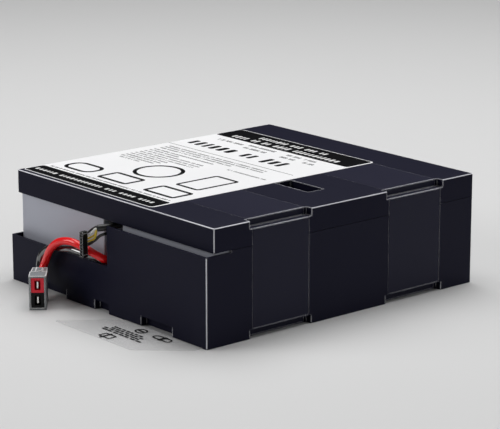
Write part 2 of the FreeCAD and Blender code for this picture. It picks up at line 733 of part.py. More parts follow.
def wired_ways():
    """Ways of the sense connector that carry a wire: the tail's way, then the cable's four cores."""
    return [3, 4, 5, 6, 7]


def red_lead_route():
    """Red lead: receptacle, wiring channel, over the sill, up and down to the upper pole."""
    return [
        barrel_mouth(-1),
        barrel_mouth(-1) + Vector(7.0, 0, 0),
        Vector(-5.2, -1.8, TAB_Z - 3.9),
        Vector(-5.0, -13.0, TAB_Z - 9.2),
        Vector(-4.4, -35.0, 37.0),
        Vector(-4.5, -68.0, 30.8),
        Vector(-4.5, -92.0, 29.0),
        Vector(-3.2, -107.0, 30.4),
        Vector(-3.8, -114.2, 34.4),
        Vector(-9.0, -117.6, 37.6),
        Vector(-16.4, -120.2, 40.4),
        Vector(-26.0, -122.6, 42.9),
        Vector(-38.0, -124.2, 40.4),
        Vector(-47.2, -124.3, 32.6),
        Vector(-55.2, -121.5, 23.6),
        Vector(-56.2, -123.0, 19.0),
        plug_point(PLUG_DEPTH + 4.8, pole_z(1)),
        plug_point(PLUG_DEPTH - 0.3, pole_z(1)),
    ]


def black_lead_route():
    """Black lead: the same way along the channel, then under and behind the red one to the lower pole."""
    return [
        barrel_mouth(1),
        barrel_mouth(1) + Vector(-7.0, 0, 0),
        Vector(5.2, -1.8, TAB_Z - 3.9),
        Vector(5.0, -13.0, TAB_Z - 9.5),
        Vector(4.4, -35.0, 34.5),
        Vector(4.0, -64.0, 25.8),
        Vector(1.2, -86.0, 21.2),
        Vector(-3.4, -100.5, 20.6),
        Vector(-7.2, -110.9, 26.0),
        Vector(-10.6, -111.6, 33.2),
        Vector(-14.4, -116.6, 34.8),
        Vector(-20.4, -118.8, 35.4),
        Vector(-29.4, -119.8, 36.3),
        Vector(-40.0, -118.7, 34.2),
        Vector(-50.4, -118.4, 33.0),
        Vector(-58.0, -118.9, 30.0),
        Vector(-62.2, -120.3, 25.2),
        Vector(-62.6, -121.4, 19.2),
        Vector(-60.4, -122.8, 13.6),
        Vector(-57.2, -124.4, 9.4),
        plug_point(PLUG_DEPTH + 4.6, pole_z(0)),
        plug_point(PLUG_DEPTH - 0.3, pole_z(0)),
    ]


def sense_cable_route():
    """Jacketed sense cable: from the gap between the lids, along the channel and out under the cover."""
    return [
        Vector(0.0, -10.0, TAB_Z - 3.5),
        Vector(0.6, -26.0, TAB_Z - 1.7),
        Vector(1.0, -56.0, 53.2),
        Vector(1.3, -88.0, 55.0),
        Vector(1.2, -106.0, 55.8),
        Vector(0.1, -114.6, 55.4),
        Vector(-3.7, -117.6, 54.6),
    ]


def sense_tail_route():
    """Single black sense wire, from the connector along the channel to the black lead's receptacle."""
    face_y = LID_FACE_Y - TAB_LENGTH
    way = 3
    return [
        sense_back_point(way),
        sense_back_point(way) - heading(SENSE_HEADING) * 2.6,
        Vector(-8.4, -116.0, 45.8),
        Vector(-4.4, -115.6, 49.4),
        Vector(-1.4, -114.0, 50.8),
        Vector(-1.2, -108.0, 50.9),
        Vector(-1.8, -94.0, 49.8),
        Vector(-2.4, -66.0, 47.6),
        Vector(-1.0, -34.0, TAB_Z - 9.5),
        Vector(-0.2, -15.0, TAB_Z - 11.9),
        Vector(0.4, -4.0, TAB_Z - 12.2),
        Vector(4.6, 0.6, TAB_Z - 10.1),
        Vector(10.4, 0.2, TAB_Z - 6.5),
        Vector(16.2, -1.0, TAB_Z - 2.7),
        Vector(INNER_TAB_X, face_y - 3.4, TAB_Z - 0.7),
        Vector(INNER_TAB_X, face_y, TAB_Z - 0.7),
    ]


def core_starts(end, before, spacing):
    """Four points round the middle of a cable's end face, and the direction that the cable leaves in."""
    ahead = (end - before).normalize()
    side = ahead.cross(Vector(0, 0, 1)).normalize()
    lift = side.cross(ahead)
    reach = spacing / math.sqrt(2)
    offsets = [lift * reach, side * -reach, side * reach, lift * -reach]
    return [end + offset for offset in offsets], ahead


def core_route(index):
    """Thin core from the cable's outer end round to its way in the sense connector."""
    cable = sense_cable_route()
    starts, ahead = core_starts(cable[-1], cable[-2], CORE_SPACING)
    back = sense_back_point(SENSE_WAYS - 1 - index)
    swings = [
        Vector(-8.8, -118.4, 53.2),
        Vector(-8.0, -119.2, 51.0),
        Vector(-7.4, -117.2, 49.2),
        Vector(-5.6, -118.0, 47.8),
    ]
    leave = [1.2, 1.4, 0.8, 1.0][index]
    return [
        starts[index],
        starts[index] + ahead * leave,
        swings[index],
        back - heading(SENSE_HEADING) * 2.2,
        back,
    ]


def tap_routes():
    """Inner ends of the cable's cores: name and route of each tap."""
    cable = sense_cable_route()
    starts, ahead = core_starts(cable[0], cable[1], CORE_SPACING)
    leaving = [start + ahead * 2.0 for start in starts]
    face_y = LID_FACE_Y - TAB_LENGTH
    link_side = OUTER_TAB_X - LINK_WIDTH / 2
    link_z = TAB_TOP_Z + LINK_THICKNESS / 2
    lane_z = TAB_Z - TAP_DROP
    return [
        (
            "sense_tap_positive",
            [
                starts[1],
                leaving[1],
                Vector(-1.8, -3.0, TAB_Z - 1.9),
                Vector(-4.6, -0.4, TAB_Z + 0.7),
                Vector(-10.0, -0.9, TAB_Z + 1.6),
                Vector(-16.2, -1.0, TAB_Z + 1.0),
                Vector(-INNER_TAB_X, face_y - 3.2, TAB_Z + 0.6),
                Vector(-INNER_TAB_X, face_y, TAB_Z + 0.6),
            ],
        ),
        (
            "sense_tap_middle",
            [
                starts[0],
                leaving[0],
                Vector(0.9, -4.8, TAB_Z - 2.5),
                Vector(0.9, -4.8, TAB_TOP_Z),
            ],
        ),
        (
            "sense_tap_left",
            [
                starts[3],
                leaving[3],
                Vector(-2.2, -TAP_ENTRY - 0.2, lane_z + 0.2),
                Vector(-0.10 * link_side, -TAP_PASSING, lane_z),
                Vector(-0.25 * link_side, 0.4, lane_z + 0.4),
                Vector(-0.55 * link_side, -0.5, lane_z + 2.6),
                Vector(-0.80 * link_side, 0.4, link_z - TAP_RISE),
                Vector(-0.92 * link_side, 0.1, link_z - TAP_APPROACH),
                Vector(-link_side + TAP_LEG, 0.0, link_z),
                Vector(-link_side, 0.0, link_z),
            ],
        ),
        (
            "sense_tap_right",
            [
                starts[2],
                leaving[2],
                Vector(0.9, -TAP_ENTRY, lane_z - 0.6 * TAP_LANE_GAP),
                Vector(0.09 * link_side, -TAP_PASSING - 0.2, lane_z - TAP_LANE_GAP),
                Vector(0.25 * link_side, 0.4, lane_z),
                Vector(0.55 * link_side, -0.5, lane_z + 2.4),
                Vector(0.80 * link_side, 0.4, link_z - TAP_RISE),
                Vector(0.92 * link_side, 0.1, link_z - TAP_APPROACH),
                Vector(link_side - TAP_LEG, 0.0, link_z),
                Vector(link_side, 0.0, link_z),
            ],
        ),
    ]


def make_label():
    """Printed label on the cover's top."""
    corners = [
        (LABEL_LEFT, LABEL_FRONT),
        (LABEL_RIGHT, LABEL_FRONT),
        (LABEL_RIGHT, LABEL_REAR),
        (LABEL_LEFT, LABEL_REAR),
    ]
    return rounded_plate(corners, LABEL_CORNER_RADIUS, CARTRIDGE_HEIGHT, LABEL_THICKNESS)


def main():
    os.makedirs("parts", exist_ok=True)
    save("tray", make_tray())
    save("cover", make_cover())
    for centre, name in zip(strap_centres(), ("front_binding_tape", "rear_binding_tape")):
        save(name, strap_band(TAPE_THICKNESS, TAPE_WIDTH, centre))
    save("top_label", make_label())
    save("pull_tab", rounded_plate(pull_tab_outline(), TAB_FILM_CORNER, 0, TAB_FILM_THICKNESS))

    for name, side, end in battery_places():
        save("battery_case_" + name, make_block_case(side, end))
        save("battery_lid_" + name, make_block_lid(side, end))
        save("vent_plate_" + name, make_vent_plate(side, end))
        positive_x, negative_x = tab_places(side, end)
        save("positive_tab_" + name, make_tab(positive_x, end))
        save("negative_tab_" + name, make_tab(negative_x, end))
        save("foam_pad_" + name, make_pad(side, end))

    save("link_left", make_end_link(-1))
    save("link_right", make_end_link(1))
    save("link_across", make_cross_link())
    save("red_receptacle", make_receptacle(-1))
    save("black_receptacle", make_receptacle(1))

    save("red_lead", make_cord("red_lead", red_lead_route(), LEAD_DIAMETER))
    save("black_lead", make_cord("black_lead", black_lead_route(), LEAD_DIAMETER))
    save("plug_shell", make_plug_shell())
    save("red_housing", make_housing(1))
    save("black_housing", make_housing(0))
    save("red_contact", make_contact(1))
    save("black_contact", make_contact(0))

    save("sense_cable", make_cord("sense_cable", sense_cable_route(), SENSE_CABLE_DIAMETER))
    save("sense_tail", make_cord("sense_tail", sense_tail_route(), SENSE_TAIL_DIAMETER))
    core_names = ("sense_core_black", "sense_core_white", "sense_core_yellow", "sense_core_lemon")
    for index, name in enumerate(core_names):
        save(name, make_cord(name, core_route(index), SENSE_CORE_DIAMETER))
    for name, route in tap_routes():
        save(name, make_cord(name, route, SENSE_CORE_DIAMETER))
    save("sense_housing", make_sense_housing())
    save("sense_contacts", make_sense_contacts())


def tab_places(side, end):
    """Places across the cartridge of a block's positive and negative tabs."""
    inner = side * INNER_TAB_X
    outer = side * OUTER_TAB_X
    if side * end < 0:
        return inner, outer
    return outer, inner


main()
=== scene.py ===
"""Looks of a rack power supply's replacement battery cartridge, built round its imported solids."""

import logging
import math
from dataclasses import dataclass, field
from enum import Enum

import bpy
import numpy as np
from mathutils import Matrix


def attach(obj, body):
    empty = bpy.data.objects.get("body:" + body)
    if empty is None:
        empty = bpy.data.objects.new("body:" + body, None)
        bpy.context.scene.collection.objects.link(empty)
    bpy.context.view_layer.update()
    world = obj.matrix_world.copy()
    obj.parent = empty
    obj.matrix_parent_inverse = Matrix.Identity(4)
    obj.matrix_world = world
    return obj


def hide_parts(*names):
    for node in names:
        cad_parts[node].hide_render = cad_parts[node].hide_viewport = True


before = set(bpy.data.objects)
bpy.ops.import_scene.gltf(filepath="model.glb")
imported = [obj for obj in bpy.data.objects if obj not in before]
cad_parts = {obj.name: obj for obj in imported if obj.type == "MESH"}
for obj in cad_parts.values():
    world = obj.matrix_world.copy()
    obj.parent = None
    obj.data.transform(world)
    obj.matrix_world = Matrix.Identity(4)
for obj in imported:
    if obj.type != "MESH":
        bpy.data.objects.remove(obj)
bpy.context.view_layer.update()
LOG = logging.getLogger("cartridge")
BODY = "root"

# A millimetre in metres
MM = 0.001

# Detail of the two noise patterns that mottle every finish
BROAD_DETAIL = 4.0
FINE_DETAIL = 2.0

# Painted highlight on edges: samples of the average direction, and the ranges over which each measure goes
# from 0 to 1
EDGE_SAMPLES = 6
PATCH_RANGE = (0.35, 0.6)
UNDERSIDE_RANGE = (-0.45, -0.05)
TOPSIDE_RANGE = (0.20, 0.45)
SKIP_RANGE = (0.002, 0.004)
SIDEWAYS_RANGE = (0.04, 0.15)
AVERAGE_LEAN_RANGE = (0.975, 0.90)

# Rows of print: bar widths and gaps as shares of the stroke, half heights as shares of the row's height
MEAN_BAR_PITCH = 1.55
BAR_WIDTHS = (0.8, 1.3)
GROUP_SHARE = 0.18
GROUP_GAP = 2.4
BAR_GAP = 0.75
BAR_RISES = (0.38, 0.5)
BAR_CORNER = 0.3

# A frame's inner outline: what each of x0, x1, y0, y1 and radius gains per stroke, and the least radius
INSET = (1.0, -1.0, 1.0, -1.0, -1.0)
SMALLEST_CORNER = 0.05

# Steps that a cord's line takes between two points, and round its section
LINE_STEPS = 10
SECTION_STEPS = 5

Colour = tuple[float, float, float]
Point = tuple[float, float, float]
Value = float | bpy.types.NodeSocket


class Grain(Enum):
    """How a surface's small pattern lies."""

    EVEN = (1.0, 1.0, 1.0)
    ALONG_X = (0.08, 1.0, 1.0)
    AROUND_SHELL = (0.06, 1.0, 0.06)


class FarEnd(Enum):
    """What a cord ends in."""

    CONNECTOR = "connector"


def set_input(tree: bpy.types.NodeTree, socket: bpy.types.NodeSocket, value: Value | Colour) -> None:
    """Join an input to another node's output, or set it to a number or a colour.

    Args:
        tree: The material's nodes.
        socket: The input.
        value: The output, number or colour that it takes.
    """
    if isinstance(value, bpy.types.NodeSocket):
        tree.links.new(value, socket)
    elif isinstance(value, tuple):
        socket.default_value = (*value, 1.0)
    else:
        socket.default_value = value


def calculate(tree: bpy.types.NodeTree, operation: str, *values: Value) -> bpy.types.NodeSocket:
    """Work out one or two values with a math node, such as their product or the larger one.

    Args:
        tree: The material's nodes.
        operation: What the node does.
        values: What it works on.

    Returns:
        The socket of the outcome.
    """
    node = tree.nodes.new("ShaderNodeMath")
    node.operation = operation
    for socket, value in zip(node.inputs, values):
        set_input(tree, socket, value)
    return node.outputs["Value"]


def rescale(
    tree: bpy.types.NodeTree, value: Value, limits: tuple[float, float], to: tuple[float, float] = (0.0, 1.0)
) -> bpy.types.NodeSocket:
    """Move a value from one range to another, held at both ends.

    Args:
        tree: The material's nodes.
        value: What is moved.
        limits: The range that it comes from.
        to: The range that it goes to.

    Returns:
        The socket of the moved value.
    """
    node = tree.nodes.new("ShaderNodeMapRange")
    set_input(tree, node.inputs["Value"], value)
    node.inputs["From Min"].default_value, node.inputs["From Max"].default_value = limits
    node.inputs["To Min"].default_value, node.inputs["To Max"].default_value = to
    return node.outputs["Result"]


def blend_colours(
    tree: bpy.types.NodeTree, share: Value, first: Colour | bpy.types.NodeSocket, second: Colour
) -> bpy.types.NodeSocket:
    """Move the first colour towards the second by a share.

    Args:
        tree: The material's nodes.
        share: How far it moves, from 0 to 1.
        first: The colour at 0.
        second: The colour at 1.

    Returns:
        The socket of the mixed colour.
    """
    node = tree.nodes.new("ShaderNodeMix")
    node.data_type = "RGBA"
    set_input(tree, node.inputs["Factor"], share)
    set_input(tree, node.inputs["A"], first)
    set_input(tree, node.inputs["B"], second)
    return node.outputs["Result"]


def split_direction(tree: bpy.types.NodeTree, vector: bpy.types.NodeSocket) -> bpy.types.NodeOutputs:
    """Split a vector into its parts.

    Args:
        tree: The material's nodes.
        vector: The socket of the vector.

    Returns:
        The outputs X, Y and Z.
    """
    node = tree.nodes.new("ShaderNodeSeparateXYZ")
    tree.links.new(vector, node.inputs["Vector"])
    return node.outputs


@dataclass(frozen=True)
class Finish:
    """A surface finish: two tones of one colour, mottled by fine and broad noise.

    The colour at a point is the dark tone moved towards the light tone by broad noise. The roughness moves
    between its two limits with the same noise, and fine noise raises the bump.

    Where a finish has an edge tone, it is a painted highlight that the edges take in place of light along
    them. The mask is the larger of two measures: how far the surface's direction turns from the average
    direction within the highlight's reach, and how far it leans away from the nearest axis. The first counts
    only where the average itself leans away from every axis, so a shallow step stays clean. The mask is
    patched by the broad noise, scaled where the average direction looks up and where either direction leans
    along Y, and left out where the average looks down and near the skipped place along X. Lengths are in
    metres.
    """

    name: str
    dark: Colour
    light: Colour
    rough: tuple[float, float] = (0.4, 0.5)
    broad_scale: float = 18.0
    fine_scale: float = 900.0
    bump: float = 0.15
    bump_depth: float = 0.0001
    grain: Grain = Grain.EVEN
    metallic: float = 0.0
    coat: float = 0.0
    coat_rough: float = 0.12
    coat_bend: float = 1.5
    specular: float = 0.5
    alpha: float = 1.0
    # The edge tone and the settings after it paint a highlight along the edges
    edge_highlight: Colour | None = None
    highlight_up: float = 1.0
    highlight_floor: float = 0.25
    highlight_reach: float = 0.0014
    highlight_turn: tuple[float, float] = (0.94, 0.83)
    highlight_skip: float = -1.0
    highlight_across: float = 1.0
    lean_turn: tuple[float, float] = (0.99, 0.94)

    def material(self) -> bpy.types.Material:
        """Build the node material once and hand it out again after that.

        Returns:
            The finish as a material that reads Object coordinates.
        """
        label = "finish_" + self.name
        known = bpy.data.materials.get(label)
        if known:
            return known
        made = bpy.data.materials.new(label)
        made.use_nodes = True
        tree = made.node_tree
        shader = tree.nodes["Principled BSDF"]
        place = tree.nodes.new("ShaderNodeTexCoord").outputs["Object"]
        broad = self._noise(tree, place, self.broad_scale, BROAD_DETAIL)
        fine = self._noise(tree, place, self.fine_scale, FINE_DETAIL)
        tone = blend_colours(tree, broad, self.dark, self.light)
        # Edges are lightened towards the edge tone: a painted highlight
        if self.edge_highlight:
            tone = blend_colours(tree, self._edge_highlight_mask(tree, broad, place), tone, self.edge_highlight)
        bump = tree.nodes.new("ShaderNodeBump")
        bump.inputs["Strength"].default_value = self.bump
        bump.inputs["Distance"].default_value = self.bump_depth
        tree.links.new(fine, bump.inputs["Height"])
        settings: dict[str, Value] = {
            "Base Color": tone,
            "Roughness": rescale(tree, broad, (0.0, 1.0), self.rough),
            "Normal": bump.outputs["Normal"],
            "Metallic": self.metallic,
            "Coat Weight": self.coat,
            "Coat Roughness": self.coat_rough,
            "Coat IOR": self.coat_bend,
            "Specular IOR Level": self.specular,
            "Alpha": self.alpha,
        }
        for name, value in settings.items():
            set_input(tree, shader.inputs[name], value)
        return made

    def _edge_highlight_mask(
        self, tree: bpy.types.NodeTree, patch: bpy.types.NodeSocket, place: bpy.types.NodeSocket
    ) -> bpy.types.NodeSocket:
        """Measure how much painted edge highlight a point takes, from 0 to 1.

        Args:
            tree: The material's nodes.
            patch: The noise that makes the painted highlight uneven.
            place: Where the point is on the object.

        Returns:
            The socket of the measure.
        """
        rounded = tree.nodes.new("ShaderNodeBevel")
        rounded.samples = EDGE_SAMPLES
        rounded.inputs["Radius"].default_value = self.highlight_reach
        average = rounded.outputs["Normal"]
        surface = tree.nodes.new("ShaderNodeNewGeometry").outputs["Normal"]
        turn = tree.nodes.new("ShaderNodeVectorMath")
        turn.operation = "DOT_PRODUCT"
        tree.links.new(average, turn.inputs[0])
        tree.links.new(surface, turn.inputs[1])
        turned = rescale(tree, turn.outputs["Value"], self.highlight_turn)
        steep = calculate(tree, "MULTIPLY", turned, self._lean(tree, average, AVERAGE_LEAN_RANGE))
        edge = calculate(tree, "MAXIMUM", steep, self._lean(tree, surface, self.lean_turn))
        facing = split_direction(tree, average)
        own = split_direction(tree, surface)
        offset = calculate(tree, "SUBTRACT", split_direction(tree, place)["X"], self.highlight_skip)
        sideways = [calculate(tree, "ABSOLUTE", parts["Y"]) for parts in (facing, own)]
        factors = (
            rescale(tree, facing["Z"], UNDERSIDE_RANGE),
            rescale(tree, facing["Z"], TOPSIDE_RANGE, (1.0, self.highlight_up)),
            rescale(tree, patch, PATCH_RANGE, (self.highlight_floor, 1.0)),
            rescale(tree, calculate(tree, "ABSOLUTE", offset), SKIP_RANGE),
            rescale(tree, calculate(tree, "MAXIMUM", *sideways), SIDEWAYS_RANGE, (1.0, self.highlight_across)),
        )
        for factor in factors:
            edge = calculate(tree, "MULTIPLY", edge, factor)
        return edge

    def _lean(
        self, tree: bpy.types.NodeTree, direction: bpy.types.NodeSocket, limits: tuple[float, float]
    ) -> bpy.types.NodeSocket:
        """Measure how far a direction is from every axis: 0 on a flat side, 1 on a rounded edge.

        The largest of its parts along X, Y and Z is 1 on an axis and falls as the direction leans away.

        Args:
            tree: The material's nodes.
            direction: The socket of the direction.
            limits: The largest part at which the measure is 0, and at which it is 1.

        Returns:
            The socket of the measure.
        """
        size = tree.nodes.new("ShaderNodeVectorMath")
        size.operation = "ABSOLUTE"
        tree.links.new(direction, size.inputs[0])
        parts = split_direction(tree, size.outputs["Vector"])
        largest = calculate(tree, "MAXIMUM", calculate(tree, "MAXIMUM", parts["X"], parts["Y"]), parts["Z"])
        return rescale(tree, largest, limits)

    def _noise(
        self, tree: bpy.types.NodeTree, place: bpy.types.NodeSocket, scale: float, detail: float
    ) -> bpy.types.NodeSocket:
        """Add a noise pattern that is drawn out along the finish's grain.

        Args:
            tree: The material's nodes.
            place: Where the point is on the object.
            scale: How fine the pattern is.
            detail: How many finer patterns lie over it.

        Returns:
            The socket of the pattern's height, from 0 to 1.
        """
        turn = tree.nodes.new("ShaderNodeMapping")
        turn.inputs["Scale"].default_value = self.grain.value
        tree.links.new(place, turn.inputs["Vector"])
        noise = tree.nodes.new("ShaderNodeTexNoise")
        noise.inputs["Scale"].default_value = scale
        noise.inputs["Detail"].default_value = detail
        tree.links.new(turn.outputs["Vector"], noise.inputs["Vector"])
        return noise.outputs["Fac"]


TRAY_SHELL = Finish(
    "tray_shell",
    (0.0040, 0.0040, 0.0160),
    (0.0075, 0.0075, 0.0210),
    (0.46, 0.58),
    bump=0.25,
    specular=0.12,
    # Edges carry a painted highlight, left off where they face up and near x = 3.4 mm
    edge_highlight=(0.95, 0.95, 1.0),
    highlight_up=0.0,
    highlight_floor=0.7,
    highlight_reach=0.0018,
    highlight_turn=(0.87, 0.79),
    highlight_skip=0.0034,
)
COVER_SHELL = Finish(
    "cover_shell",
    (0.0039, 0.0039, 0.0155),
    (0.0069, 0.0069, 0.0198),
    (0.46, 0.58),
    bump=0.25,
    specular=0.10,
    # Edges carry a painted highlight
    edge_highlight=(0.75, 0.75, 0.80),
    highlight_floor=0.7,
    highlight_reach=0.0018,
    highlight_turn=(0.87, 0.79),
)
TAPE = Finish(
    "binding_tape",
    (0.0075, 0.0075, 0.0225),
    (0.0120, 0.0120, 0.0290),
    (0.36, 0.48),
    fine_scale=500.0,
    bump=0.12,
    grain=Grain.AROUND_SHELL,
    specular=0.15,
    # Edges carry a painted highlight
    edge_highlight=(0.90, 0.90, 0.95),
    highlight_floor=0.8,
    highlight_turn=(0.95, 0.80),
    highlight_across=0.0,
)
LABEL_PAPER = Finish("label_paper", (0.88, 0.88, 0.89), (0.92, 0.92, 0.93), (0.35, 0.45), bump=0.05)
INK_BLACK = Finish(
    "ink_black",
    (0.002, 0.002, 0.003),
    (0.004, 0.004, 0.005),
    (0.50, 0.60),
    bump=0.05,
    specular=0.03,
)
INK_GREY = Finish(
    "ink_grey",
    (0.010, 0.010, 0.012),
    (0.030, 0.030, 0.032),
    (0.50, 0.60),
    bump=0.05,
    specular=0.1,
)
INK_WHITE = Finish("ink_white", (0.72, 0.72, 0.72), (0.80, 0.80, 0.80), (0.35, 0.45), bump=0.05)
CLEAR_FILM = Finish("clear_film", (0.70, 0.70, 0.71), (0.76, 0.76, 0.77), (0.10, 0.22), alpha=0.16)
FILM_INK = Finish("film_ink", (0.006, 0.006, 0.007), (0.012, 0.012, 0.013), (0.40, 0.50), specular=0.1)
BLOCK_CASE = Finish(
    "block_case",
    (0.430, 0.445, 0.515),
    (0.475, 0.490, 0.560),
    (0.45, 0.58),
    bump=0.3,
    # Edges carry a painted highlight
    edge_highlight=(0.50, 0.50, 0.54),
)
BLOCK_LID = Finish("block_lid", (0.200, 0.205, 0.230), (0.235, 0.240, 0.265), (0.40, 0.52), bump=0.2)
FOAM = Finish(
    "foam",
    (0.010, 0.010, 0.011),
    (0.022, 0.022, 0.024),
    (0.85, 0.95),
    fine_scale=1400.0,
    bump=0.8,
)
TINNED = Finish("tinned_metal", (0.62, 0.61, 0.58), (0.72, 0.71, 0.68), (0.24, 0.36), metallic=1.0)
NICKEL = Finish(
    "nickel_strip",
    (0.60, 0.57, 0.50),
    (0.70, 0.67, 0.60),
    (0.22, 0.34),
    metallic=1.0,
    grain=Grain.ALONG_X,
)
RED_SILICONE = Finish(
    "red_silicone",
    (0.90, 0.001, 0.003),
    (0.98, 0.003, 0.006),
    (0.35, 0.45),
    coat=0.5,
    coat_rough=0.05,
    coat_bend=1.8,
    specular=0.15,
)
BLACK_SILICONE = Finish(
    "black_silicone",
    (0.002, 0.002, 0.003),
    (0.004, 0.004, 0.005),
    (0.35, 0.45),
    coat=1.0,
    coat_rough=0.05,
    coat_bend=2.4,
    specular=0.15,
)
PLUG_GREY = Finish(
    "plug_grey",
    (0.17, 0.185, 0.195),
    (0.25, 0.265, 0.275),
    (0.40, 0.52),
    bump=0.2,
    # Edges carry a white painted highlight
    edge_highlight=(1.0, 1.0, 1.0),
    highlight_floor=1.0,
    highlight_reach=0.0017,
    highlight_turn=(0.985, 0.90),
    lean_turn=(0.5, 0.4),
)
PLUG_RED = Finish(
    "plug_red",
    (0.95, 0.035, 0.060),
    (1.0, 0.050, 0.080),
    (0.40, 0.50),
    bump=0.1,
    specular=0.2,
)
PLUG_BLACK = Finish(
    "plug_black",
    (0.003, 0.003, 0.004),
    (0.006, 0.006, 0.007),
    (0.40, 0.50),
    bump=0.1,
    specular=0.2,
)
SILVERED = Finish("silvered_contact", (0.72, 0.71, 0.69), (0.82, 0.81, 0.79), (0.18, 0.28), metallic=1.0)
JACKET = Finish(
    "cable_jacket",
    (0.003, 0.003, 0.004),
    (0.006, 0.006, 0.007),
    (0.40, 0.50),
    bump=0.2,
    coat=0.3,
)
CORE_BLACK = Finish("core_black", (0.003, 0.003, 0.003), (0.007, 0.007, 0.007), (0.35, 0.45), coat=0.3)
CORE_WHITE = Finish("core_white", (0.72, 0.71, 0.66), (0.80, 0.79, 0.75), (0.30, 0.40))
CORE_YELLOW = Finish("core_yellow", (0.70, 0.50, 0.03), (0.80, 0.60, 0.05), (0.30, 0.40))
SENSE_PLASTIC = Finish(
    "sense_plastic",
    (0.004, 0.004, 0.005),
    (0.008, 0.008, 0.009),
    (0.40, 0.52),
    bump=0.15,
    specular=0.3,
    # Edges carry a painted highlight
    edge_highlight=(0.70, 0.70, 0.72),
    highlight_floor=1.0,
    highlight_reach=0.0005,
    highlight_turn=(0.96, 0.84),
    lean_turn=(0.5, 0.4),
)
FLOOR_PAPER = Finish(
    "floor_paper",
    (0.62, 0.62, 0.62),
    (0.64, 0.64, 0.64),
    (0.80, 0.90),
    broad_scale=0.6,
    bump=0.0,
)

NODE_FINISHES: dict[str, Finish] = {
    "tray": TRAY_SHELL,
    "cover": COVER_SHELL,
    "front_binding_tape": TAPE,
    "rear_binding_tape": TAPE,
    "top_label": LABEL_PAPER,
    "pull_tab": CLEAR_FILM,
    "battery_case": BLOCK_CASE,
    "battery_lid": BLOCK_LID,
    "vent_plate": BLOCK_LID,
    "positive_tab": TINNED,
    "negative_tab": TINNED,
    "foam_pad": FOAM,
    "link": NICKEL,
    "red_receptacle": TINNED,
    "black_receptacle": TINNED,
    "red_lead": RED_SILICONE,
    "black_lead": BLACK_SILICONE,
    "plug_shell": PLUG_GREY,
    "red_housing": PLUG_RED,
    "black_housing": PLUG_BLACK,
    "red_contact": SILVERED,
    "black_contact": SILVERED,
    "sense_cable": JACKET,
    "sense_tail": CORE_BLACK,
    "sense_core_black": CORE_BLACK,
    "sense_core_white": CORE_WHITE,
    "sense_core_yellow": CORE_YELLOW,
    "sense_core_lemon": CORE_YELLOW,
    "sense_tap_positive": CORE_YELLOW,
    "sense_tap_middle": CORE_WHITE,
    "sense_tap_left": CORE_YELLOW,
    "sense_tap_right": CORE_BLACK,
    "sense_housing": SENSE_PLASTIC,
    "sense_contacts": TINNED,
}


def dress_nodes() -> None:
    """Give every solid of the frame the finish whose name its own name starts with."""
    for name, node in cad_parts.items():
        finish = next(NODE_FINISHES[key] for key in NODE_FINISHES if name.startswith(key))
        node.data.materials.clear()
        node.data.materials.append(finish.material())
        LOG.info("dressed %s in %s", name, finish.name)


def add_piece(name: str, verts: np.ndarray, faces: list, finish: Finish) -> bpy.types.Object:
    """Make a mesh piece of the cartridge from arrays, in metres.

    Args:
        name: The piece's name.
        verts: Its points, one row each.
        faces: Its faces, as tuples of rows.
        finish: What it is made of.

    Returns:
        The new object, riding on the cartridge's body.
    """
    mesh = bpy.data.meshes.new(name)
    mesh.from_pydata(verts.tolist(), [], faces)
    mesh.validate()
    mesh.materials.append(finish.material())
    piece = bpy.data.objects.new(name, mesh)
    bpy.context.scene.collection.objects.link(piece)
    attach(piece, BODY)
    LOG.info("made %s with %d points", name, len(verts))
    return piece


